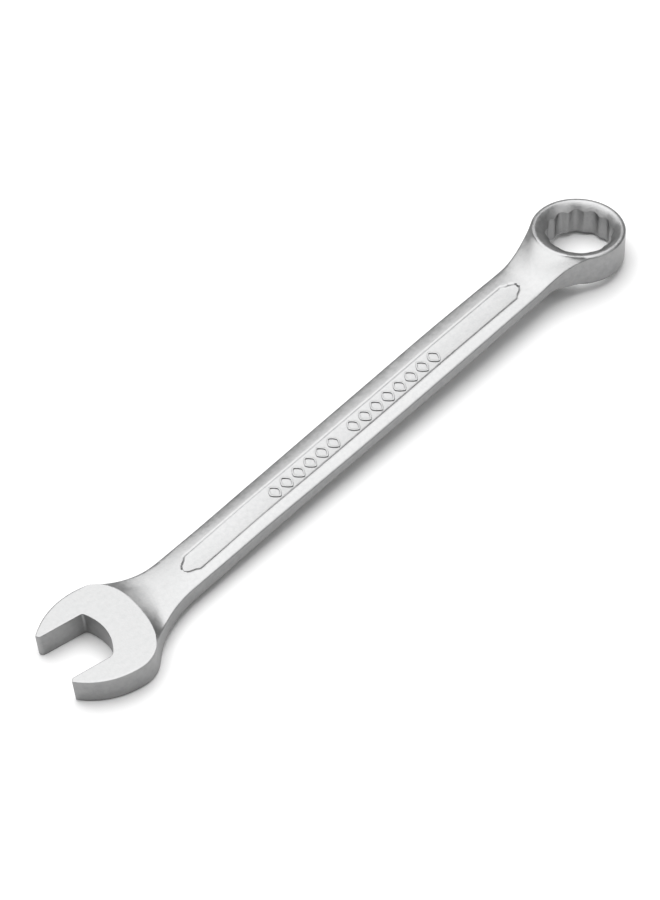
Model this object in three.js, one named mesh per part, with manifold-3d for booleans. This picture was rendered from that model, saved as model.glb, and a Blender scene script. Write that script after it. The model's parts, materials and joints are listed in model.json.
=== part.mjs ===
// Combination wrench, 14 mm across flats, made as one forging and modelled in three sections:
// the open end, the shank and the ring end. The sections meet face to face on flat cuts across
// the shank. Millimetres, +X along the shank from the open end to the ring, +Z up.
//
// The design frame's origin is where the jaw's centre line crosses the shank's centre line, at
// half the head's thickness. The finished group is moved so that its origin is under the middle
// of the tool's box.

import * as THREE from 'three';
import { mergeVertices } from 'three/addons/utils/BufferGeometryUtils.js';
import Module from 'manifold-3d';

// Size of the hexagon that the wrench fits, and the working clearance on it.
const ACROSS_FLATS = 14;
const CLEARANCE = 0.15;
const OPENING = ACROSS_FLATS + CLEARANCE;

// Open end: a flat plate with its jaw turned out of line with the shank.
const JAW_ANGLE = THREE.MathUtils.degToRad(13);
const HEAD_THICKNESS = 6.5;
const HEAD_HALF_WIDTH = 14;
const HEAD_BACK = 9.3;
const HEAD_BACK_POWER = 2.5;
const CHEEK_RADIUS = 17.3;
const TIP_RADIUS = 4;
const TIP_REACH = { left: 13.5, right: 13.9 };
const THROAT_DEPTH = 0.4;
const TIP_CORNER = 1;
const THROAT_START = { left: 1.4, right: 1.9 };
const THROAT_CORNER = 1.2;

// Shank: a flat-sided bar with crowned faces and a shallow panel in each face.
const CENTRES = 153;
const SHANK_HALF_WIDTH = 6.1;
const CROWN_POWER = 2.3;
const PANEL_START = 23.4;
const PANEL_END = 132.3;
const PANEL_SHOULDER = 3;
const PANEL_HALF_WIDTH = 2.85;
const PANEL_SHIFT = -0.45;
const PANEL_BLUNT = 0.5;
const PANEL_DEPTH = 0.38;

// Plain raised marks on the upper panel, in two groups.
const MARK = {
  length: 2.6,
  width: 3.5,
  height: 0.28,
  pitch: 3.75,
  groups: [
    { start: 52.6, count: 6 },
    { start: 77.8, count: 8 },
  ],
};

// Ring end: a tilted collar with a bi-hexagon bore, countersunk at both faces.
const RING_RADIUS = 11.05;
const RING_OFFSET = -0.5;
const RING_TOP = 4.2;
const RING_BOTTOM = -4;
const RING_TILT = THREE.MathUtils.degToRad(9.25);
const RING_EDGE = 0.9;
const POINTS = 12;
const BORE_TURN = THREE.MathUtils.degToRad(18);
const UPPER_SINK = { radius: 9.2, depth: 1.7 };
const LOWER_SINK = { radius: 8.1, depth: 0.6 };
const SINK_OVERRUN = 1;
const RING_SEGMENTS = 60;

// Flares where the shank widens into the two ends.
const HEAD_FLARE = { radius: 25, start: 22, widest: 10.9 };
const RING_FLARE = { radius: 20, start: 136.6, widest: 9.2 };

// Steps along curved outlines.
const CURVE_STEPS = 12;
const CROWN_STEPS = 12;
const BACK_STEPS = 14;
const SHORTEST_EDGE = 0.05;

// Cuts between the three sections.
const OPEN_CUT = 24;
const RING_CUT = 130;

// Sections along the tool: x, the middle's height, half the side wall's height, and half the
// thickness at the centre line.
const HEAD_NECK = [
  { x: 5, middle: 0, wall: 3, crown: 3 },
  { x: 7.5, middle: 0, wall: 2.95, crown: 3.05 },
  { x: 9.5, middle: 0, wall: 2.5, crown: 2.95 },
  { x: 11.5, middle: 0, wall: 2.1, crown: 2.5 },
  { x: 14, middle: -0.01, wall: 1.85, crown: 2.1 },
  { x: 17, middle: -0.02, wall: 1.8, crown: 2.05 },
  { x: 20.5, middle: -0.03, wall: 1.78, crown: 2.08 },
  { x: OPEN_CUT, middle: -0.02, wall: 1.76, crown: 2.18 },
];
const SHANK = [
  { x: OPEN_CUT, middle: -0.02, wall: 1.76, crown: 2.18 },
  { x: 32, middle: 0.03, wall: 1.65, crown: 2.25 },
  { x: 46, middle: 0.28, wall: 1.47, crown: 2.25 },
  { x: 64, middle: 0.54, wall: 1.27, crown: 2.02 },
  { x: 88, middle: 0.76, wall: 1.27, crown: 1.97 },
  { x: 106, middle: 0.95, wall: 1.34, crown: 2.02 },
  { x: 118, middle: 1.1, wall: 1.28, crown: 1.94 },
  { x: RING_CUT, middle: 1.12, wall: 1.3, crown: 1.92 },
];
const RING_NECK = [
  { x: RING_CUT, middle: 1.12, wall: 1.3, crown: 1.92 },
  { x: 134, middle: 1.1, wall: 1.36, crown: 2 },
  { x: 137, middle: 1.1, wall: 1.5, crown: 2.45 },
  { x: 139.5, middle: 1, wall: 1.95, crown: 3.2 },
  { x: 142, middle: 0.95, wall: 2.75, crown: 4 },
  { x: 144, middle: 0.9, wall: 3.1, crown: 4.1 },
  { x: 146, middle: 0.85, wall: 3.3, crown: 4.1 },
];

// Half the shank's width at x, with the flare at each end as an arc tangent to the shank.
function halfWidth(x) {
  const flare = x < HEAD_FLARE.start ? HEAD_FLARE : RING_FLARE;
  const reach = x < HEAD_FLARE.start ? HEAD_FLARE.start - x : Math.max(x - RING_FLARE.start, 0);
  const half = SHANK_HALF_WIDTH + flare.radius - Math.sqrt(flare.radius ** 2 - reach ** 2);
  return Math.min(half, flare.widest);
}

// Half the thickness at the centre line, and the middle's height, between the listed sections.
function shankAt(x) {
  const next = SHANK.findIndex((section) => section.x > x);
  const [before, after] = [SHANK[next - 1], SHANK[next]];
  const share = (x - before.x) / (after.x - before.x);
  const blend = (key) => THREE.MathUtils.lerp(before[key], after[key], share);
  return { x, middle: blend('middle'), wall: blend('wall'), crown: blend('crown') };
}

// One cross-section of the shank as a closed loop of points, anticlockwise seen from the ring.
function sectionLoop({ x, middle, wall, crown }) {
  const half = halfWidth(x);
  const loop = [];
  for (const face of [1, -1]) {
    for (let i = 0; i <= CROWN_STEPS; i++) {
      const across = face * (1 - (2 * i) / CROWN_STEPS);
      const rise = wall + (crown - wall) * (1 - Math.abs(across) ** CROWN_POWER);
      loop.push(new THREE.Vector3(x, half * across, middle + face * rise));
    }
  }
  return loop;
}

// A closed solid through a row of equal loops, with flat ends.
function loft(loops) {
  const count = loops[0].length;
  const positions = loops.flatMap((loop) => loop.flatMap((p) => [p.x, p.y, p.z]));
  const index = [];
  for (let k = 0; k + 1 < loops.length; k++) {
    for (let i = 0; i < count; i++) {
      const a = k * count + i;
      const b = k * count + ((i + 1) % count);
      index.push(a, b, a + count, b, b + count, a + count);
    }
  }
  const outline = loops[0].map((p) => new THREE.Vector2(p.y, p.z));
  const last = (loops.length - 1) * count;
  for (const [a, b, c] of THREE.ShapeUtils.triangulateShape(outline, [])) {
    index.push(a, c, b, last + a, last + b, last + c);
  }
  const geometry = new THREE.BufferGeometry();
  geometry.setAttribute('position', new THREE.Float32BufferAttribute(positions, 3));
  geometry.setIndex(index);
  return geometry;
}

// Solids go through manifold-3d for joining and cutting.
const wasm = await Module();
wasm.setup();

function toSolid(geometry) {
  const bare = geometry.clone();
  bare.deleteAttribute('normal');
  bare.deleteAttribute('uv');
  const merged = mergeVertices(bare, 1e-4);
  const mesh = new wasm.Mesh({
    numProp: 3,
    vertProperties: new Float32Array(merged.attributes.position.array),
    triVerts: new Uint32Array(merged.index.array),
  });
  return new wasm.Manifold(mesh);
}

function toGeometry(solid) {
  const mesh = solid.getMesh();
  const geometry = new THREE.BufferGeometry();
  geometry.setAttribute('position', new THREE.BufferAttribute(new Float32Array(mesh.vertProperties), 3));
  geometry.setIndex(new THREE.BufferAttribute(new Uint32Array(mesh.triVerts), 1));
  geometry.computeVertexNormals();
  return geometry;
}

function prism(shape, bottom, top) {
  const outline = shape.getPoints(CURVE_STEPS);
  const distinct = outline.filter((point, i) => point.distanceTo(outline.at(i - 1)) > SHORTEST_EDGE);
  const options = { depth: top - bottom, bevelEnabled: false };
  return new THREE.ExtrudeGeometry(new THREE.Shape(distinct), options).translate(0, 0, bottom);
}

// The head seen from above in its own frame: the jaw opens towards -X. The cheeks are arcs that
// run into smaller arcs at the tips, the right jaw is a little longer than the left, and the back
// is a flattened ellipse.
function headShape() {
  const flat = OPENING / 2;
  const cheekCentre = HEAD_HALF_WIDTH - CHEEK_RADIUS;
  const reach = CHEEK_RADIUS - TIP_RADIUS;
  const tip = (side) => {
    const x = TIP_RADIUS - TIP_REACH[side];
    const y = cheekCentre + Math.sqrt(reach ** 2 - x ** 2);
    const inner = Math.PI - Math.asin((flat + TIP_CORNER - y) / TIP_RADIUS);
    return { x, y, inner, turn: Math.atan2(y - cheekCentre, x), end: x + TIP_RADIUS * Math.cos(inner) };
  };
  const [left, right] = [tip('left'), tip('right')];
  const shape = new THREE.Shape();
  shape.absarc(left.x, left.y, TIP_RADIUS, left.inner, left.turn, true);
  shape.absarc(0, cheekCentre, CHEEK_RADIUS, left.turn, Math.PI / 2, true);
  for (let i = 1; i < 2 * BACK_STEPS; i++) {
    const angle = (Math.PI / 2) * (1 - i / BACK_STEPS);
    const x = HEAD_BACK * Math.cos(angle) ** (2 / HEAD_BACK_POWER);
    const y = HEAD_HALF_WIDTH * Math.sign(angle) * Math.abs(Math.sin(angle)) ** (2 / HEAD_BACK_POWER);
    shape.lineTo(x, y);
  }
  shape.absarc(0, -cheekCentre, CHEEK_RADIUS, -Math.PI / 2, -right.turn, true);
  shape.absarc(right.x, -right.y, TIP_RADIUS, -right.turn, -right.inner, true);
  shape.quadraticCurveTo(right.end + TIP_CORNER / 4, -flat, right.end + TIP_CORNER, -flat);
  const corner = (side) => THROAT_CORNER / 2 - THROAT_START[side];
  const cornerY = flat - THROAT_CORNER;
  const deepest = 2 * THROAT_DEPTH - (corner('left') + corner('right')) / 2;
  shape.lineTo(-THROAT_START.right - THROAT_CORNER, -flat);
  shape.quadraticCurveTo(-THROAT_START.right, -flat, corner('right'), -cornerY);
  shape.quadraticCurveTo(deepest, 0, corner('left'), cornerY);
  shape.quadraticCurveTo(-THROAT_START.left, flat, -THROAT_START.left - THROAT_CORNER, flat);
  shape.lineTo(left.end + TIP_CORNER, flat);
  shape.quadraticCurveTo(left.end + TIP_CORNER / 4, flat, left.end, flat + TIP_CORNER);
  return shape;
}

function openEnd() {
  const plate = prism(headShape(), -HEAD_THICKNESS / 2, HEAD_THICKNESS / 2).rotateZ(-JAW_ANGLE);
  return toGeometry(toSolid(plate).add(toSolid(loft(HEAD_NECK.map(sectionLoop)))));
}

// The shallow panel of one face, seen from above, with a blunt point and shoulders at each end.
function panelShape() {
  const end = (tip, way, half) => [
    [tip + way * PANEL_SHOULDER, half],
    [tip + way * 0.6 * PANEL_SHOULDER, 0.7 * half],
    [tip + way * 0.25 * PANEL_SHOULDER, 0.55 * half],
    [tip, PANEL_BLUNT],
  ];
  const mirrored = (outline) => outline.map(([x, y]) => [x, -y]);
  const start = end(PANEL_START, 1, PANEL_HALF_WIDTH);
  const finish = end(PANEL_END, -1, PANEL_HALF_WIDTH);
  const outline = [...start.toReversed(), ...finish, ...mirrored(finish).toReversed(), ...mirrored(start)];
  return new THREE.Shape(outline.map(([x, y]) => new THREE.Vector2(x, y + PANEL_SHIFT)));
}

// The core that is left standing under both panels: a flat-faced bar along the middle.
function panelCore() {
  const loops = SHANK.map(({ x, middle, crown }) => {
    const rise = crown - PANEL_DEPTH;
    const half = SHANK_HALF_WIDTH - 1;
    const corners = [[half, rise], [-half, rise], [-half, -rise], [half, -rise]];
    return corners.map(([y, z]) => new THREE.Vector3(x, y, middle + z));
  });
  return toSolid(loft(loops));
}

// A raised plain lozenge on the upper panel's floor.
function mark(x) {
  const { middle, crown } = shankAt(x);
  const floor = middle + crown - PANEL_DEPTH;
  const corners = [[MARK.length / 2, 0], [0, MARK.width / 2], [-MARK.length / 2, 0], [0, -MARK.width / 2]];
  const shape = new THREE.Shape(corners.map(([along, across]) => new THREE.Vector2(x + along, across + PANEL_SHIFT)));
  return toSolid(prism(shape, floor - PANEL_DEPTH, floor + MARK.height));
}

function shank() {
  const loops = SHANK.map(sectionLoop);
  const cutter = toSolid(prism(panelShape(), -HEAD_THICKNESS, HEAD_THICKNESS)).subtract(panelCore());
  let solid = toSolid(loft(loops)).subtract(cutter);
  for (const { start, count } of MARK.groups) {
    for (let i = 0; i < count; i++) solid = solid.add(mark(start + i * MARK.pitch));
  }
  return toGeometry(solid);
}

// The twelve-point bore: two hexagons a twelfth of a turn apart, seen along the ring's axis.
function boreShape() {
  const ridge = OPENING / 2 / Math.cos(Math.PI / POINTS);
  const corner = OPENING / 2 / Math.cos(Math.PI / 6);
  const points = [];
  for (let i = 0; i < 2 * POINTS; i++) {
    const radius = i % 2 ? ridge : corner;
    const angle = BORE_TURN + (i * Math.PI) / POINTS;
    points.push(new THREE.Vector2(radius * Math.cos(angle), radius * Math.sin(angle)));
  }
  return new THREE.Shape(points);
}

// A solid turned about the ring's axis from half of its outline, given as radius and height.
function turned(profile) {
  const points = profile.map(([radius, height]) => new THREE.Vector2(radius, height));
  return new THREE.LatheGeometry(points, RING_SEGMENTS).rotateX(Math.PI / 2);
}

function ringEnd() {
  const collar = turned([
    [0, RING_BOTTOM],
    [RING_RADIUS - RING_EDGE, RING_BOTTOM],
    [RING_RADIUS, RING_BOTTOM + RING_EDGE],
    [RING_RADIUS, RING_TOP - RING_EDGE],
    [RING_RADIUS - RING_EDGE, RING_TOP],
    [0, RING_TOP],
  ]).translate(RING_OFFSET, 0, 0);
  const sink = (face, { radius, depth }) => [
    [0, face - depth],
    [radius - depth, face - depth],
    [radius + SINK_OVERRUN, face + SINK_OVERRUN],
    [0, face + SINK_OVERRUN],
  ];
  const upper = toSolid(placeRing(turned(sink(RING_TOP, UPPER_SINK))));
  const lower = toSolid(placeRing(turned(sink(-RING_BOTTOM, LOWER_SINK)).rotateX(Math.PI)));
  const bore = toSolid(placeRing(prism(boreShape(), 2 * RING_BOTTOM, 2 * RING_TOP)));
  const body = toSolid(placeRing(collar)).add(toSolid(loft(RING_NECK.map(sectionLoop))));
  return toGeometry(body.subtract(bore).subtract(upper).subtract(lower));
}

// Tilts a piece of the ring so that its far side dips, and moves it to the ring's centre.
function placeRing(geometry) {
  return geometry.rotateY(RING_TILT).translate(CENTRES, 0, 0);
}

// The three sections, in satin chrome plate.
const chrome = new THREE.MeshStandardMaterial({ color: 0xc9cbcc, roughness: 0.38, metalness: 1 });

function section(name, geometry) {
  const mesh = new THREE.Mesh(geometry, chrome.clone());
  mesh.name = name;
  return mesh;
}

const wrench = new THREE.Group();
wrench.add(section('open_end', openEnd()), section('shank', shank()), section('ring_end', ringEnd()));

// The origin goes under the middle of the tool's box.
const box = new THREE.Box3().setFromObject(wrench);
const middle = box.getCenter(new THREE.Vector3());
wrench.position.set(-middle.x, -middle.y, -box.min.z);

export default wrench;
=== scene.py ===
"""Looks for the combination wrench: one finely shaped forging in satin chrome.

The forging is drawn in a straight frame in millimetres: s runs along the shank from the head's
centre, y across it and h up. It is then bent along its middle line, which rises a little towards
the ring and tilts the ring, and moved to the CAD frame in metres.
"""

import json
import math

import bmesh
import bpy
import numpy as np
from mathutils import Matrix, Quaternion, Vector


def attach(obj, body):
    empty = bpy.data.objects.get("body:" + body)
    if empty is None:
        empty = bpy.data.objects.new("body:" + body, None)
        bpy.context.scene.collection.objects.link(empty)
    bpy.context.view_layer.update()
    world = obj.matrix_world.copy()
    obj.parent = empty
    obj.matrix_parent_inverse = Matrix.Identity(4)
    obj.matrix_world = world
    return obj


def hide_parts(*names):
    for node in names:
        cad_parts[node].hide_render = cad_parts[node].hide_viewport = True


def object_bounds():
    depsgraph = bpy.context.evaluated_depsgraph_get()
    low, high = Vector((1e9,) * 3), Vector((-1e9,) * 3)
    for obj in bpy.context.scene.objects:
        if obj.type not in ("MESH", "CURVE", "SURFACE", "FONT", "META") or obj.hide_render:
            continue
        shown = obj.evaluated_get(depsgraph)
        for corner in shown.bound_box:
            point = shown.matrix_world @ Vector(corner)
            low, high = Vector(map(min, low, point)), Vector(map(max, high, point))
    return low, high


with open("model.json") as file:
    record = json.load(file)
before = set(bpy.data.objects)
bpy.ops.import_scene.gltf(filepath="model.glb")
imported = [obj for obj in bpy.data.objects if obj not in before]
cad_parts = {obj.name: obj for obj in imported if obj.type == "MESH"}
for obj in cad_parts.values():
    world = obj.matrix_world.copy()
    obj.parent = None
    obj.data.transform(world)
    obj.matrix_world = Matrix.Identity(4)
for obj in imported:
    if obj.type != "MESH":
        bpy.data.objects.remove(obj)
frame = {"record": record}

MM = 0.001
CAD_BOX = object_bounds()

# Head
OPENING = 14.15
JAW_ANGLE = math.radians(13)
HEAD_HALF_THICKNESS = 3.25
HEAD_HALF_WIDTH = 14
HEAD_BACK = 9.3
HEAD_BACK_POWER = 2.5
CHEEK_RADIUS = 17.3
TIP_RADIUS = 4
TIP_REACH = (13.5, 13.9)          # on the left and on the right, as for the throat
TIP_CORNER = 1.0
THROAT_DEPTH = 0.4
THROAT_START = (1.4, 1.9)
THROAT_CORNER = (0.45, 1.2)
JOIN_LEFT = math.radians(68)      # where the neck's flare meets the head, from the head's back
JOIN_RIGHT = math.radians(-49)
NECK_RAMP = (7.5, 6.3, 12.0)      # length of the fall behind the head: right, middle, left
RAMP_POWER = 1.6
RAMP_SPREAD = 2.5                 # how late the fall changes from its middle length to its side one

# Shank
CENTRES = 153
CROWN_POWER = 2.3
NECK_END = 22
RING_NECK_START = 134
BEND_END = 143.5                  # the bend into the ring's tilt starts at the ring's neck and ends here
BEND_SLOPE = 0.05                 # slope of the middle line where that bend starts

# Recessed panel
PANEL_START = 23.4
PANEL_END = 132.3
PANEL_SHOULDER = 3
PANEL_HALF = 2.85
PANEL_SHIFT = -0.45               # the panel lies a little to the right of the middle
PANEL_BLUNT = 0.45
PANEL_DEPTH = 0.38
PANEL_WALL = 0.42
PANEL_DISH = 0.07
PANEL_LIP = 0.62                  # how far down the wall its middle row lies
# Outline of the panel's ends: share of the shoulder's length, and share of the half width there
PANEL_END_SHAPE = ((0.25, 0.5), (0.6, 0.66), (0.78, 0.76), (0.92, 0.93), (1, 1))
PANEL_END_INSET = 0.8             # the floor's outline follows the shoulders a little closer
OUTSIDE_GROWTH = 0.3              # beyond its ends the panel's columns spread out at this rate
OUTSIDE_FLOOR = 0.55              # and the floor's columns keep this share of them

# Raised marks on the panel's floor, in two groups: (middle of the first, how many)
MARK_GROUPS = ((52.6, 6), (77.8, 8))
MARK_PITCH = 3.75
MARK_LENGTH = 2.6
MARK_WIDTH = 3.5
MARK_STROKE = 0.55
MARK_HEIGHT = 0.28
MARK_SINK = 0.15
MARK_POWER = 1.5
MARK_STEPS = 32
# Section of a mark's ridge: share of the stroke, and share of the height or None for the sunk foot
MARK_SECTION = ((0.62, None), (0.36, 0.8), (0, 1), (-0.36, 0.8), (-0.62, None))

# Ring
RING_RADIUS = 11.05
RING_OFFSET = -0.5                # the ring's outside is centred a little nearer the shank
RING_TILT = math.radians(9.25)
BORE_TURN = math.radians(18)
FACET = (0.06, 0.25, 0.5, 0.69, 0.78)    # how far out a facet reaches between a ridge and its corner
POINTS = 12
DISH_DROP = {1: 0.4, -1: 0.12}
DISH_POWER = 1.35
DISH_STEP = {1: 0.3, -1: 0.2}
DISH_CREST = 9.9                  # about how far the rim's crest is from the bore's centre
RINGS = {1: (4.2, 0.95, 0.45), -1: (4.0, 1.0, 1.0)}    # crest height, rim width and rim drop by side

# Rounding of the long edges
EDGE_ROUND = 0.3
CHEEK_ROUND = 0.6                 # the cheeks are rounder than the jaw faces
CHEEK_START = 0.3                 # their rounding starts this far outside the jaw's flats
CHEEK_GROWTH = 3                  # and takes this width to reach its full size
EDGE_FADE = 2.5                   # an edge's rounding runs out over this length where two edges meet
SHARP_ANGLE = math.radians(42)

# Satin chrome
CLOUD_SCALE = 800
CLOUD_DETAIL = 3
GRAIN_SCALE = 2200
GRAIN_DETAIL = 2
GRAIN_STRENGTH = 0.6
GRAIN_DEPTH = 0.00004
NOISE_RANGE = (0.3, 0.7)
ROUGHNESS = (0.33, 0.43)
DARK_CHROME = (0.26, 0.261, 0.262, 1)
LIGHT_CHROME = (0.315, 0.315, 0.316, 1)

# Studio. The tool lies on the rim of its ring and on its jaw, so the floor isn't quite level with its frame
FLOOR_TILT = math.radians(0.78)
FLOOR_GAP = 0.02
FLOOR_HALF = 3                    # in metres, like the softboxes' distances and sizes
FLOOR_COLOUR = (0.86, 0.86, 0.86, 1)
FLOOR_ROUGHNESS = 0.9
WORLD_STRENGTH = 0.34

# Camera: its direction from a point in the shank, its distance in metres, and its lens in millimetres
CAMERA_AZIMUTH = math.radians(-128.55)
CAMERA_ELEVATION = math.radians(48.21)
CAMERA_ROLL = math.radians(-9.44)
CAMERA_DISTANCE = 1.15663
CAMERA_TARGET = (70.534, 0.175, 0)
CAMERA_LENS = 206.2944
CAMERA_SENSOR = 36

# Grid
CREASE_POINTS = 200
CHEEK_STEPS = 14
TIP_STEP = 0.06
CORNER_STEPS = 4
FLAT_POINTS = 6
THROAT_CORNER_STEPS = 6
THROAT_STEPS = 16
NECK_ROWS = 30
RING_NECK_ROWS = 34
SHANK_ROWS = 126
PANEL_END_ROWS = (0, 0.22, 0.5, 0.8, 1.2, 1.6, 1.95, 2.2, 2.4, 2.6, 2.8, 3.0, 3.4)
PLAIN_ROWS = ((NECK_END, 22.5, 23.0), (132.9, 133.5, RING_NECK_START))
DISH_ROWS = 8
SIDE_SPREAD = 0.85
FACET_STEPS = 4
RELAX_ROUNDS = 40
RELAX_START = 2
RELAX_BLEND = 6
MERGE_DISTANCE = 0.003
SHORTEST_EDGE = 0.001
NEAR_COLUMNS = 30
RIM_STEPS = 3
JOIN_STEPS = 2
COLUMNS = NEAR_COLUMNS + 2 * JOIN_STEPS
SIDE_COLUMNS = 7
WALL_COLUMNS = 2
FLOOR_COLUMNS = COLUMNS - 2 * SIDE_COLUMNS - 2 * WALL_COLUMNS


def smooth(table, x):
    """A smooth curve through (x, value) rows."""
    xs, ys = np.array(table, float).T
    slopes = np.gradient(ys, xs)
    i = np.clip(np.searchsorted(xs, x) - 1, 0, len(xs) - 2)
    step = xs[i + 1] - xs[i]
    t = np.clip((x - xs[i]) / step, 0, 1)
    return (
        (2 * t**3 - 3 * t**2 + 1) * ys[i]
        + (t**3 - 2 * t**2 + t) * step * slopes[i]
        + (3 * t**2 - 2 * t**3) * ys[i + 1]
        + (t**3 - t**2) * step * slopes[i + 1]
    )


# Along the shank: its half width, the height of its side wall above and below the middle line, the
# crown's height over that wall, and the height of the middle line itself.
WIDTH = [(8, 6.0), (22, 6.0), (40, 6.0), (52, 6.1), (70, 6.27), (95, 6.35), (112, 6.35), (124, 6.22),
         (134, 6.1), (150, 6.1)]
WALL_UP = [(6, 1.75), (22, 1.72), (32, 1.6), (46, 1.48), (64, 1.27), (88, 1.27), (106, 1.35), (124, 1.27),
           (134, 1.4), (137, 1.65), (140, 2.15), (143, 2.85), (145, 3.3), (147.2, 3.75)]
WALL_DOWN = [(6, 1.85), (22, 1.85), (32, 1.7), (46, 1.45), (64, 1.27), (88, 1.27), (106, 1.33), (124, 1.25),
             (134, 1.3), (137, 1.3), (139, 1.7), (141, 2.6), (143, 3.0), (145, 3.15), (147.2, 3.2)]
CROWN = [(6, 0.05), (22, 0.35), (40, 0.78), (64, 0.75), (88, 0.7), (110, 0.68), (134, 0.6)]
MIDDLE = [(0, 0), (22, -0.03), (34, 0.05), (46, 0.28), (64, 0.54), (88, 0.76), (106, 0.95), (118, 1.1),
          (126, 1.13), (134, 1.1)]


def bend(s, y, h):
    """Bends a straight-frame point along the middle line, still in millimetres from the head's centre."""
    if s <= RING_NECK_START:
        return Vector((s, y, smooth(MIDDLE, s) + h))
    run, fall = math.cos(RING_TILT), math.sin(RING_TILT)
    reach = BEND_END - RING_NECK_START
    t = min((s - RING_NECK_START) / reach, 1)
    start = (RING_NECK_START, MIDDLE[-1][1])
    end = (CENTRES + (BEND_END - CENTRES) * run, (CENTRES - BEND_END) * fall)
    ease = (2 * t**3 - 3 * t**2 + 1, t**3 - 2 * t**2 + t, 3 * t**2 - 2 * t**3, t**3 - t**2)
    past = max(s - BEND_END, 0)
    x = ease[0] * start[0] + ease[1] * reach + ease[2] * end[0] + ease[3] * reach * run + past * run
    z = ease[0] * start[1] + ease[1] * reach * BEND_SLOPE + ease[2] * end[1] - ease[3] * reach * fall
    z -= past * fall
    tilt = RING_TILT * ease[2]
    return Vector((x + h * math.sin(tilt), y, z + h * math.cos(tilt)))


class Skin:
    """Collects faces by their corner points, joining points that coincide."""

    def __init__(self):
        self.points = []
        self.index = {}
        self.faces = []

    def point(self, p):
        key = tuple(round(c, 4) for c in p)
        if key not in self.index:
            self.index[key] = len(self.points)
            self.points.append(tuple(p))
        return self.index[key]

    def face(self, corners):
        ids = []
        for p in corners:
            i = self.point(p)
            if not ids or ids[-1] != i:
                ids.append(i)
        if len(ids) > 1 and ids[0] == ids[-1]:
            ids.pop()
        if len(ids) > 2:
            self.faces.append(ids)

    def grid(self, rows):
        for below, above in zip(rows, rows[1:]):
            for i in range(len(below) - 1):
                self.face([below[i], below[i + 1], above[i + 1], above[i]])


def arc_points(centre, radius, start, end, steps):
    angles = np.linspace(start, end, steps + 1)
    return [(centre[0] + radius * math.cos(a), centre[1] + radius * math.sin(a)) for a in angles]


def turn_head(a, b):
    """From the head's own frame, whose jaw opens towards -a, to the straight frame."""
    cosine, sine = math.cos(JAW_ANGLE), math.sin(JAW_ANGLE)
    return (a * cosine + b * sine, b * cosine - a * sine)


def back_point(angle):
    """A point of the head's back, a squarish ellipse in the head's own frame."""
    power = 2 / HEAD_BACK_POWER
    a = HEAD_BACK * abs(math.cos(angle)) ** power
    b = HEAD_HALF_WIDTH * math.copysign(abs(math.sin(angle)) ** power, angle)
    return (a, b)


def resample(points, count):
    """The same plan line with its points evenly spaced."""
    p = np.array(points, float)
    along = np.concatenate([[0], np.cumsum(np.linalg.norm(np.diff(p, axis=0), axis=1))])
    at = np.linspace(0, along[-1], count)
    return list(zip(*(np.interp(at, along, p[:, k]) for k in range(2))))


def head_outline():
    """Plan of the head: the crease at its back, then each cheek, tip and jaw face in turn."""
    flat = OPENING / 2
    centre = HEAD_HALF_WIDTH - CHEEK_RADIUS
    crease = [back_point(a) for a in np.linspace(JOIN_RIGHT, JOIN_LEFT, CREASE_POINTS)]

    def side(join, sign):
        tip_a = TIP_RADIUS - TIP_REACH[sign < 0]
        tip_b = centre + math.sqrt((CHEEK_RADIUS - TIP_RADIUS) ** 2 - tip_a**2)
        turn = math.atan2(tip_b - centre, tip_a)
        inner = math.pi - math.asin((flat + TIP_CORNER - tip_b) / TIP_RADIUS)
        line = [back_point(a) for a in np.linspace(abs(join), math.pi / 2, CHEEK_STEPS)]
        line += arc_points((0, centre), CHEEK_RADIUS, math.pi / 2, turn, CHEEK_STEPS)[1:]
        steps = max(1, round(abs(inner - turn) / TIP_STEP))
        line += arc_points((tip_a, tip_b), TIP_RADIUS, turn, inner, steps)[1:]
        end = line[-1]
        control = (end[0] + TIP_CORNER / 4, flat)
        line += quadratic(end, control, (end[0] + TIP_CORNER, flat), CORNER_STEPS)[1:]
        last = -THROAT_START[sign < 0] - THROAT_CORNER[sign < 0]
        line += [(a, flat) for a in np.linspace(end[0] + TIP_CORNER, last, FLAT_POINTS)[1:]]
        return [(a, sign * b) for a, b in line]

    def corner(start, fillet):
        end = (fillet / 2 - start, flat - fillet)
        return quadratic((-start - fillet, flat), (-start, flat), end, THROAT_CORNER_STEPS)

    left_corner, right_corner = (corner(*sizes) for sizes in zip(THROAT_START, THROAT_CORNER))
    right_corner = [(a, -b) for a, b in reversed(right_corner)]
    (a0, b0), (a1, b1) = left_corner[-1], right_corner[0]
    throat = quadratic((a0, b0), (2 * THROAT_DEPTH - (a0 + a1) / 2, 0), (a1, b1), THROAT_STEPS)
    jaw = left_corner + throat[1:] + right_corner[1:]
    left = side(JOIN_LEFT, 1)
    right = side(JOIN_RIGHT, -1)
    rim = left + jaw[1:-1] + right[::-1]
    return [turn_head(*p) for p in crease], [turn_head(*p) for p in rim]


def quadratic(a, b, c, steps):
    """A curve from a to c that leaves and arrives along the lines to b."""
    out = []
    for t in np.linspace(0, 1, steps + 1):
        out.append(tuple((1 - t) ** 2 * p + 2 * t * (1 - t) * q + t**2 * r for p, q, r in zip(a, b, c)))
    return out


def flare(start, corner, steps):
    """Edge of the shank, tangent to it at start and ending in corner: an arc in plan."""
    half = smooth(WIDTH, start)
    run, rise = abs(corner[0] - start), abs(corner[1]) - half
    radius = (run**2 + rise**2) / (2 * rise)
    way = math.copysign(1, corner[0] - start)
    out = []
    for t in np.linspace(0, 1, steps + 1):
        across = half + radius - math.sqrt(radius**2 - (run * t) ** 2)
        out.append((start + way * run * t, math.copysign(across, corner[1])))
    return out


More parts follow.
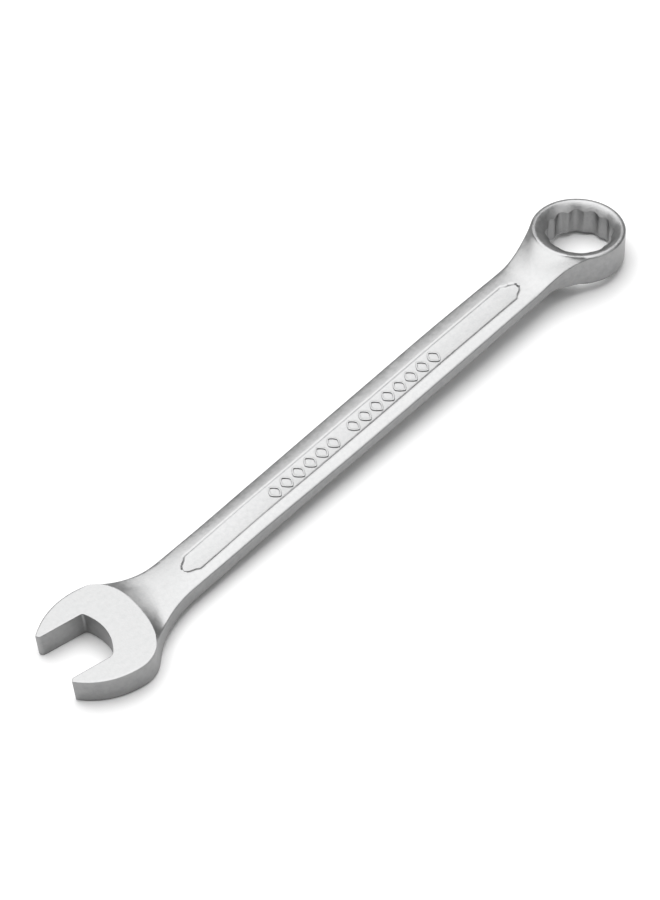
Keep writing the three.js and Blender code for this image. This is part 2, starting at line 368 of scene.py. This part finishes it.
def coons(south, north, west, east):
    """Points of a patch from its four edges: south to north by row, west to east by column."""
    west, east = np.array(west, float), np.array(east, float)
    south, north = np.array(south, float), np.array(north, float)
    v = np.linspace(0, 1, len(west))[:, None, None]
    u = np.linspace(0, 1, len(south))[None, :, None]
    flat = (1 - v) * south[None] + v * north[None]
    swept = (1 - u) * west[:, None] + u * east[:, None]
    corners = (1 - v) * ((1 - u) * south[0] + u * south[-1]) + v * ((1 - u) * north[0] + u * north[-1])
    return flat + swept - corners


def panel_half(s, inset=0.0):
    """Half width of the panel at s, or 0 outside it."""
    start, end = PANEL_START + inset, PANEL_END - inset
    if not start <= s <= end:
        return 0.0
    reach = min(s - start, end - s) / PANEL_SHOULDER
    outline = ((0, PANEL_BLUNT / PANEL_HALF),) + PANEL_END_SHAPE
    shape = np.interp(reach, *zip(*outline))
    return PANEL_HALF * shape - inset * (PANEL_END_INSET if reach < 1 else 1)


def shank_rows():
    """Positions of the rows along the shank, closer together over the panel's ends."""
    start = [PANEL_START + a for a in PANEL_END_ROWS]
    end = [PANEL_END - a for a in PANEL_END_ROWS]
    middle = np.linspace(start[-1], end[-1], SHANK_ROWS)[1:-1]
    return [*PLAIN_ROWS[0], *start, *middle, *end[::-1], *PLAIN_ROWS[1]]


def section_columns(s):
    """Across positions of one row of the shank, from its right edge to its left one."""
    width = smooth(WIDTH, s)
    outer = panel_half(s)
    inner = panel_half(s, PANEL_WALL)
    if outer == 0:
        outer = PANEL_BLUNT + OUTSIDE_GROWTH * min(abs(s - PANEL_START), abs(s - PANEL_END))
    inner = inner or outer * OUTSIDE_FLOOR
    spread = [(i / SIDE_COLUMNS) ** SIDE_SPREAD for i in range(SIDE_COLUMNS)]
    right = [-width + (width - outer + PANEL_SHIFT) * t for t in spread]
    left = [width + (outer + PANEL_SHIFT - width) * t for t in reversed(spread)]
    wall = [outer + (inner - outer) * i / WALL_COLUMNS for i in range(WALL_COLUMNS)]
    floor = np.linspace(-inner, inner, FLOOR_COLUMNS + 1)
    middle = [-w for w in wall] + list(floor) + wall[::-1]
    return right + [PANEL_SHIFT + y for y in middle] + left


def crown_height(s, y, wall):
    across = min(abs(y) / smooth(WIDTH, s), 1)
    return smooth(wall, s) + smooth(CROWN, s) * (1 - across**CROWN_POWER)


def floor_height(s, y, wall):
    dish = PANEL_DISH * ((y - PANEL_SHIFT) / PANEL_HALF) ** 2
    return crown_height(s, 0, wall) - PANEL_DEPTH + dish


def within_panel(s, inset):
    slack = 1e-6
    return PANEL_START + inset - slack <= s <= PANEL_END - inset + slack


def shank_patch(wall):
    """The rows of the shank's face, with the panel's wall and its slightly dished floor."""
    rows = []
    first = SIDE_COLUMNS + WALL_COLUMNS
    last = first + FLOOR_COLUMNS
    for s in shank_rows():
        row = []
        sunk = within_panel(s, PANEL_WALL)
        lip = within_panel(s, PANEL_WALL / 2)
        for c, y in enumerate(section_columns(s)):
            h = crown_height(s, y, wall)
            floor = floor_height(s, y, wall)
            if sunk and first <= c <= last:
                h = floor
            elif lip and first - 1 <= c <= last + 1 and c not in range(first, last + 1):
                h = h + (floor - h) * PANEL_LIP
            row.append((s, y, h))
        rows.append(row)
    return round_ends(rows, [EDGE_ROUND] * len(rows))


def rounded(point, inward, size):
    """Three points that round an upright edge at point: down the wall, between, and in along the top."""
    p, way = np.array(point, float), np.array(inward, float)
    way = way / np.linalg.norm(way)
    down = np.array([0, 0, -1.0])
    lean = 1 - math.sqrt(0.5)
    return [tuple(p + size * down), tuple(p + size * lean * (way + down)), tuple(p + size * way)]


def round_ends(rows, sizes):
    """Rounds both side edges of a patch, by a size for each row."""
    out = []
    for row, size in zip(rows, sizes):
        start = rounded(row[0], np.subtract(row[1], row[0]), size)
        end = rounded(row[-1], np.subtract(row[-2], row[-1]), size)
        out.append(start + list(row[1:-1]) + end[::-1])
    return out


def head_edge(rim):
    """Rows of the head's rounded outer edge: foot of the rounding, its middle, and the top face's edge."""
    p = np.array(rim)
    steps = np.concatenate([[0], np.cumsum(np.linalg.norm(np.diff(p, axis=0), axis=1))])
    tangent = np.gradient(p, steps, axis=0)
    tangent /= np.linalg.norm(tangent, axis=1)[:, None]
    rows = ([], [], [])
    for (s, y), (ts, ty), at in zip(rim, tangent, steps):
        b = s * math.sin(JAW_ANGLE) + y * math.cos(JAW_ANGLE)
        outside = min(max(abs(b) - OPENING / 2 - CHEEK_START, 0) / CHEEK_GROWTH, 1)
        size = EDGE_ROUND + (CHEEK_ROUND - EDGE_ROUND) * outside
        size *= min(at / EDGE_FADE, (steps[-1] - at) / EDGE_FADE, 1)
        for row, q in zip(rows, rounded((s, y, HEAD_HALF_THICKNESS), (-ty, ts, 0), size)):
            row.append(q)
    return rows


def neck_patch(crease, wall):
    """From the crease at the head's back to the plain shank: a ramp that eases into the crown."""
    line = section_columns(NECK_END)
    south = resample(crease, len(line))
    north = [(NECK_END, y) for y in line]
    west = flare(NECK_END, crease[0], NECK_ROWS)[::-1]
    east = flare(NECK_END, crease[-1], NECK_ROWS)[::-1]
    plan = coons(south, north, west, east)
    spread = np.linspace(-1, 1, len(line))
    half = smooth(WIDTH, NECK_END)
    out = []
    for r in range(plan.shape[0]):
        v = r / (plan.shape[0] - 1)
        row = []
        for c in range(plan.shape[1]):
            s, y = plan[r, c]
            across = (1 - v) * spread[c] + v * line[c] / half
            base = smooth(wall, s) + smooth(CROWN, s) * (1 - abs(across) ** CROWN_POWER)
            edge = NECK_RAMP[2] if spread[c] > 0 else NECK_RAMP[0]
            reach = NECK_RAMP[1] + (edge - NECK_RAMP[1]) * abs(spread[c]) ** RAMP_SPREAD
            gone = min(v * math.dist(south[c], north[c]) / reach, 1)
            row.append((s, y, base + (HEAD_HALF_THICKNESS - base) * (1 - gone) ** RAMP_POWER))
        out.append(row)
    sizes = [EDGE_ROUND * min((row[0][0] - out[0][0][0]) / EDGE_FADE, 1) for row in out]
    return round_ends(out, sizes)


def bore_columns():
    """Angles and radii round the twelve-point bore, whose ridges and corners are a little blunt."""
    ridge = OPENING / 2 / math.cos(math.pi / POINTS)
    corner = OPENING / 2 / math.cos(math.pi / 6)
    out = []
    for k in range(2 * POINTS * FACET_STEPS):
        along = k % (2 * FACET_STEPS)
        reach = FACET[abs(FACET_STEPS - along)]
        out.append((BORE_TURN + k * math.pi / POINTS / FACET_STEPS, ridge + (corner - ridge) * reach))
    return sorted((angle % math.tau, radius) for angle, radius in out)


BORE = bore_columns()
TOTAL = len(BORE)
MIDDLE_COLUMN = min(range(TOTAL), key=lambda i: abs(BORE[i][0] - math.pi))
NEAR_FIRST = MIDDLE_COLUMN - NEAR_COLUMNS // 2
NEAR_LAST = NEAR_FIRST + NEAR_COLUMNS


def rim_point(column, step, side):
    """On the rounded rim: step 0 is the top of the side wall, RIM_STEPS is the crest."""
    crest, width, drop = RINGS[side]
    phi = math.pi / 2 * step / RIM_STEPS
    angle = BORE[column % TOTAL][0]
    radius = RING_RADIUS - width + width * math.cos(phi)
    x = CENTRES + RING_OFFSET + radius * math.cos(angle)
    return (x, radius * math.sin(angle), crest - drop + drop * math.sin(phi))


def bore_point(column, side):
    """Where the dish meets the bore: deeper at the ridges, which reach further in."""
    angle, radius = BORE[column % TOTAL]
    crest = RINGS[side][0]
    depth = DISH_STEP[side] + DISH_DROP[side] * (DISH_CREST - radius) ** DISH_POWER
    return (CENTRES + radius * math.cos(angle), radius * math.sin(angle), crest - depth)


def relaxed(rows):
    """Evens out a patch between its edges; the first rows stay, so that it still runs on smoothly."""
    grid = np.array(rows, float)
    hold = np.clip((np.arange(len(rows)) - RELAX_START) / RELAX_BLEND, 0, 1)[1:-1, None, None]
    for _ in range(RELAX_ROUNDS):
        mean = (grid[:-2, 1:-1] + grid[2:, 1:-1] + grid[1:-1, :-2] + grid[1:-1, 2:]) / 4
        grid[1:-1, 1:-1] += hold * (mean - grid[1:-1, 1:-1])
    return [[tuple(p) for p in row] for row in grid]


def ring_neck_patch(wall, side):
    """From the plain shank up to the ring's rim, between two flared edges."""
    near = list(range(NEAR_LAST, NEAR_FIRST - 1, -1))
    north = [rim_point(NEAR_LAST, k, side) for k in range(JOIN_STEPS)]
    north += [rim_point(c, JOIN_STEPS, side) for c in near]
    north += [rim_point(NEAR_FIRST, k, side) for k in range(JOIN_STEPS - 1, -1, -1)]
    line = section_columns(RING_NECK_START)
    south = [(RING_NECK_START, y) for y in line]
    west = flare(RING_NECK_START, north[0][:2], RING_NECK_ROWS)
    east = flare(RING_NECK_START, north[-1][:2], RING_NECK_ROWS)
    plan = coons(south, [p[:2] for p in north], west, east)
    half = smooth(WIDTH, RING_NECK_START)
    rise = north[JOIN_STEPS][2] - north[0][2]
    lift = north[0][2] - smooth(wall, west[-1][0])
    out = []
    for r in range(plan.shape[0]):
        v = r / (plan.shape[0] - 1)
        row = []
        edge_w, edge_e = smooth(wall, west[r][0]), smooth(wall, east[r][0])
        for c in range(plan.shape[1]):
            u = c / (plan.shape[1] - 1)
            edge = (1 - u) * edge_w + u * edge_e + lift * v**3
            start = smooth(CROWN, RING_NECK_START) * (1 - abs(line[c] / half) ** CROWN_POWER)
            end = north[c][2] - north[0][2]
            soft = rise * (1 - (2 * u - 1) ** 4)
            end = soft + (end - soft) * v**4
            row.append((plan[r, c][0], plan[r, c][1], edge + (1 - v**3) * start + v**2 * end))
        out.append(row)
    out[-1] = north
    out = relaxed(out)
    return round_ends(out, [EDGE_ROUND * (1 - r / RING_NECK_ROWS) for r in range(RING_NECK_ROWS + 1)])


def ring_top(side):
    """The rounded rim and the dish inside it, as rows from outside to the bore's edge."""
    far = range(NEAR_LAST, NEAR_FIRST + TOTAL + 1)
    near = range(NEAR_FIRST, NEAR_LAST + 1)
    grids = [[[rim_point(c, k, side) for c in far] for k in range(RIM_STEPS + 1)]]
    grids.append([[rim_point(c, k, side) for c in near] for k in range(JOIN_STEPS, RIM_STEPS + 1)])
    rows = []
    for t in np.linspace(0, 1, DISH_ROWS + 1):
        row = []
        for c in range(TOTAL + 1):
            (x0, y0, h0), (x1, y1, h1) = rim_point(c, RIM_STEPS, side), bore_point(c, side)
            row.append((x0 + (x1 - x0) * t, y0 + (y1 - y0) * t, h0 + (h1 - h0) * t**DISH_POWER))
        rows.append(row)
    grids.append(rows)
    return grids


def placed(p, side):
    """A patch's point on the upper (1) or the under (-1) face, bent into place."""
    return tuple(bend(p[0], p[1], side * p[2]))


def build_skin():
    """The whole forging as one closed skin: both faces, then the walls that join them."""
    skin = Skin()
    crease, rim = head_outline()
    edges = {}
    for side, wall in ((1, WALL_UP), (-1, WALL_DOWN)):
        neck = neck_patch(crease, wall)
        shank = shank_patch(wall)
        ring_neck = ring_neck_patch(wall, side)
        for rows in [neck, shank, ring_neck] + ring_top(side):
            skin.grid([[placed(p, side) for p in row] for row in rows])
        loop, between, inset = head_edge(rim)
        skin.grid([[placed(p, side) for p in line] for line in (loop, between, inset)])
        skin.face([placed(p, side) for p in inset + neck[0][3:-3]])
        right = [row[0] for row in neck + shank[1:] + ring_neck[1:]]
        left = [row[-1] for row in neck + shank[1:] + ring_neck[1:]]
        far = [rim_point(c, 0, side) for c in range(NEAR_LAST, NEAR_FIRST + TOTAL + 1)]
        bore = [bore_point(c, side) for c in range(TOTAL + 1)]
        edges[side] = [[placed(p, side) for p in line] for line in (loop, right, left, far, bore)]
    for upper, lower in zip(edges[1], edges[-1]):
        skin.grid([upper, lower])
    return skin


def mark_skin(skin, middle):
    """One raised, round-cornered lozenge drawn as an outline on the panel's floor."""
    turns = np.linspace(0, math.tau, MARK_STEPS + 1)
    rows = []
    for across, height in MARK_SECTION + MARK_SECTION[:1]:
        offset = MARK_STROKE * across
        lift = -MARK_SINK if height is None else MARK_HEIGHT * height
        row = []
        for turn in turns:
            cosine, sine = math.cos(turn), math.sin(turn)
            s = middle + (MARK_LENGTH / 2 + offset) * math.copysign(abs(cosine) ** MARK_POWER, cosine)
            y = PANEL_SHIFT + (MARK_WIDTH / 2 + offset) * math.copysign(abs(sine) ** MARK_POWER, sine)
            row.append(tuple(bend(s, y, floor_height(s, y, WALL_UP) + lift)))
        row[-1] = row[0]
        rows.append(row)
    skin.grid(rows)


def to_mesh(skin, name):
    """Makes an object of a skin, placed by the middle of the bore's two opposite flats."""
    mounts = frame["record"]["mounts"]
    flat_a, flat_b = (Vector(m["pos_m"]) for m in mounts if m["name"].startswith("ring_flat"))
    origin = (flat_a + flat_b) / 2 - Vector((CENTRES, 0, 0)) * MM
    mesh = bpy.data.meshes.new(name)
    mesh.from_pydata([Vector(p) * MM + origin for p in skin.points], [], skin.faces)
    mesh.validate()
    piece = bpy.data.objects.new(name, mesh)
    bpy.context.scene.collection.objects.link(piece)
    return piece, origin


def clean(piece):
    """Joins coincident points, drops empty faces and turns the rest outwards."""
    bm = bmesh.new()
    bm.from_mesh(piece.data)
    bmesh.ops.remove_doubles(bm, verts=bm.verts, dist=MERGE_DISTANCE * MM)
    bmesh.ops.dissolve_degenerate(bm, edges=bm.edges, dist=SHORTEST_EDGE * MM)
    bmesh.ops.recalc_face_normals(bm, faces=bm.faces)
    bm.to_mesh(piece.data)
    bm.free()


def join_solid(piece, addition):
    """Joins an overlapping solid to the piece, so that one closed skin is left."""
    clean(piece)
    clean(addition)
    union = piece.modifiers.new("join", "BOOLEAN")
    union.operation, union.solver, union.object = "UNION", "EXACT", addition
    graph = bpy.context.evaluated_depsgraph_get()
    joined = bpy.data.meshes.new_from_object(piece.evaluated_get(graph))
    piece.modifiers.clear()
    piece.data = joined
    bpy.data.objects.remove(addition)


def finish_edges(piece):
    """Smooth shading that breaks only at the real edges."""
    clean(piece)
    piece.data.shade_smooth()
    piece.data.set_sharp_from_angle(angle=SHARP_ANGLE)
    normals = piece.modifiers.new("normals", "WEIGHTED_NORMAL")
    normals.keep_sharp = True


def satin_chrome():
    """Satin plating over a blasted forging: an even, fine grain with faint broader clouding."""
    material = bpy.data.materials.new("satin_chrome")
    material.use_nodes = True
    tree = material.node_tree
    shader = tree.nodes["Principled BSDF"]
    shader.inputs["Metallic"].default_value = 1.0
    place = tree.nodes.new("ShaderNodeTexCoord")

    def noise(scale, detail):
        node = tree.nodes.new("ShaderNodeTexNoise")
        node.inputs["Scale"].default_value = scale
        node.inputs["Detail"].default_value = detail
        tree.links.new(place.outputs["Object"], node.inputs["Vector"])
        return node.outputs["Fac"]

    def spread(source, low, high):
        node = tree.nodes.new("ShaderNodeMapRange")
        node.inputs["From Min"].default_value, node.inputs["From Max"].default_value = NOISE_RANGE
        node.inputs["To Min"].default_value, node.inputs["To Max"].default_value = low, high
        tree.links.new(source, node.inputs["Value"])
        return node.outputs["Result"]

    clouds, grain = noise(CLOUD_SCALE, CLOUD_DETAIL), noise(GRAIN_SCALE, GRAIN_DETAIL)
    tree.links.new(spread(clouds, *ROUGHNESS), shader.inputs["Roughness"])
    tint = tree.nodes.new("ShaderNodeMix")
    tint.data_type = "RGBA"
    tint.inputs["A"].default_value = DARK_CHROME
    tint.inputs["B"].default_value = LIGHT_CHROME
    tree.links.new(spread(clouds, 0, 1), tint.inputs["Factor"])
    tree.links.new(tint.outputs["Result"], shader.inputs["Base Color"])
    bump = tree.nodes.new("ShaderNodeBump")
    bump.inputs["Strength"].default_value = GRAIN_STRENGTH
    bump.inputs["Distance"].default_value = GRAIN_DEPTH
    tree.links.new(grain, bump.inputs["Height"])
    tree.links.new(bump.outputs["Normal"], shader.inputs["Normal"])
    return material


def direction(azimuth, elevation):
    level = math.cos(elevation)
    return Vector((math.cos(azimuth) * level, math.sin(azimuth) * level, math.sin(elevation)))


def place_camera(origin):
    """A long lens that looks down on the tool from its jaw end and right side, rolled a little."""
    away = direction(CAMERA_AZIMUTH, CAMERA_ELEVATION)
    data = bpy.data.cameras.new("camera")
    data.sensor_width = CAMERA_SENSOR
    data.lens = CAMERA_LENS
    data.clip_start, data.clip_end = 0.05, 20
    camera = bpy.data.objects.new("camera", data)
    bpy.context.scene.collection.objects.link(camera)
    camera.location = origin + Vector(CAMERA_TARGET) * MM + away * CAMERA_DISTANCE
    camera.rotation_mode = "QUATERNION"
    turn = (-away).to_track_quat("-Z", "Y")
    camera.rotation_quaternion = turn @ Quaternion((0, 0, 1), CAMERA_ROLL)
    bpy.context.scene.camera = camera


def softbox(name, azimuth, elevation, distance, size, radiance):
    """A square light facing the tool from a direction, with its centre at a distance."""
    towards = direction(math.radians(azimuth), math.radians(elevation))
    data = bpy.data.lights.new(name, "AREA")
    data.shape, data.size = "SQUARE", size
    data.energy = radiance * math.pi * size**2
    light = bpy.data.objects.new(name, data)
    light.location = towards * distance
    light.rotation_mode = "QUATERNION"
    light.rotation_quaternion = (-towards).to_track_quat("-Z", "Y")
    bpy.context.scene.collection.objects.link(light)


def studio():
    """An even white surround, the floor the tool lies on, and two softboxes."""
    scene = bpy.context.scene
    scene.view_settings.view_transform = "Standard"
    world = bpy.data.worlds.new("studio")
    scene.world = world
    world.use_nodes = True
    world.node_tree.nodes["Background"].inputs["Color"].default_value = (1, 1, 1, 1)
    world.node_tree.nodes["Background"].inputs["Strength"].default_value = WORLD_STRENGTH
    mesh = bpy.data.meshes.new("floor")
    corners = [(FLOOR_HALF * x, FLOOR_HALF * y, 0) for x, y in ((-1, -1), (1, -1), (1, 1), (-1, 1))]
    mesh.from_pydata(corners, [], [(0, 1, 2, 3)])
    floor = bpy.data.objects.new("floor", mesh)
    floor.rotation_euler = (0, FLOOR_TILT, 0)
    floor.location = (CAD_BOX[1][0], 0, -FLOOR_GAP * MM)
    scene.collection.objects.link(floor)
    material = bpy.data.materials.new("floor")
    material.use_nodes = True
    shader = material.node_tree.nodes["Principled BSDF"]
    shader.inputs["Base Color"].default_value = FLOOR_COLOUR
    shader.inputs["Roughness"].default_value = FLOOR_ROUGHNESS
    mesh.materials.append(material)
    softbox("overhead", azimuth=60, elevation=70, distance=1.5, size=2.0, radiance=3.2)
    softbox("front", azimuth=-57, elevation=42, distance=1.5, size=0.7, radiance=1.8)


wrench, origin = to_mesh(build_skin(), "wrench_forging")
mark_set = Skin()
for first, count in MARK_GROUPS:
    for k in range(count):
        mark_skin(mark_set, first + MARK_PITCH * k)
join_solid(wrench, to_mesh(mark_set, "marks")[0])
finish_edges(wrench)
wrench.data.materials.append(satin_chrome())
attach(wrench, "root")
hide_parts("open_end", "shank", "ring_end")
studio()
place_camera(origin)
